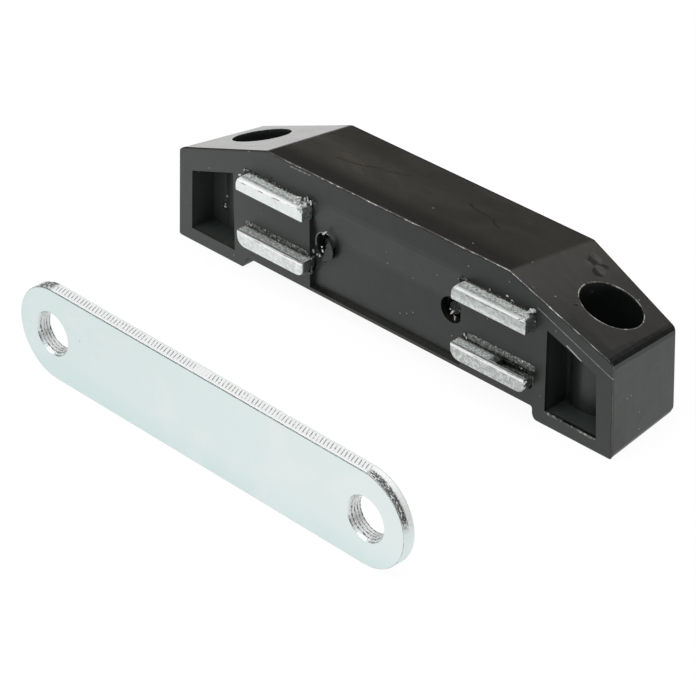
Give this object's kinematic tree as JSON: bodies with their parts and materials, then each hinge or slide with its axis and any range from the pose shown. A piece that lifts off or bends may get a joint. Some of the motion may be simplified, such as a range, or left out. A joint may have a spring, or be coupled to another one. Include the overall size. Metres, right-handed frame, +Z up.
{
  "type": "magnetic catch",
  "caption": "Magnetic catch with sloping screw-down end blocks, proud steel pole plates and a separate flat strike plate.",
  "frame": {"origin": "middle of the underside of the box around the catch and its strike plate, level with the housing's feet and the strike plate's lower edge", "axes": "+X along the housing towards its right end as the poles are faced, +Y from the pole faces towards the housing's back, +Z up from the mounting surface"},
  "size_m": [0.1238, 0.0832, 0.0312],
  "materials": {
    "black_plastic": "moulded black plastic with a soft sheen",
    "black_cover_plastic": "moulded black plastic, flat",
    "screw_steel": "blackened and oiled",
    "pole_steel": "zinc plated, cut edges",
    "ferrite": "dark grey sintered ferrite",
    "strike_steel": "bright zinc plated"
  },
  "bodies": {
    "root": {"housing": "black_plastic", "back_cover": "black_cover_plastic", "cover_screw_left": "screw_steel", "cover_screw_right": "screw_steel", "pole_plate_upper_left": "pole_steel", "pole_plate_upper_right": "pole_steel", "pole_plate_lower_left": "pole_steel", "pole_plate_lower_right": "pole_steel", "magnet_left": "ferrite", "magnet_right": "ferrite", "strike_plate": "strike_steel"}
  },
  "joints": []
}
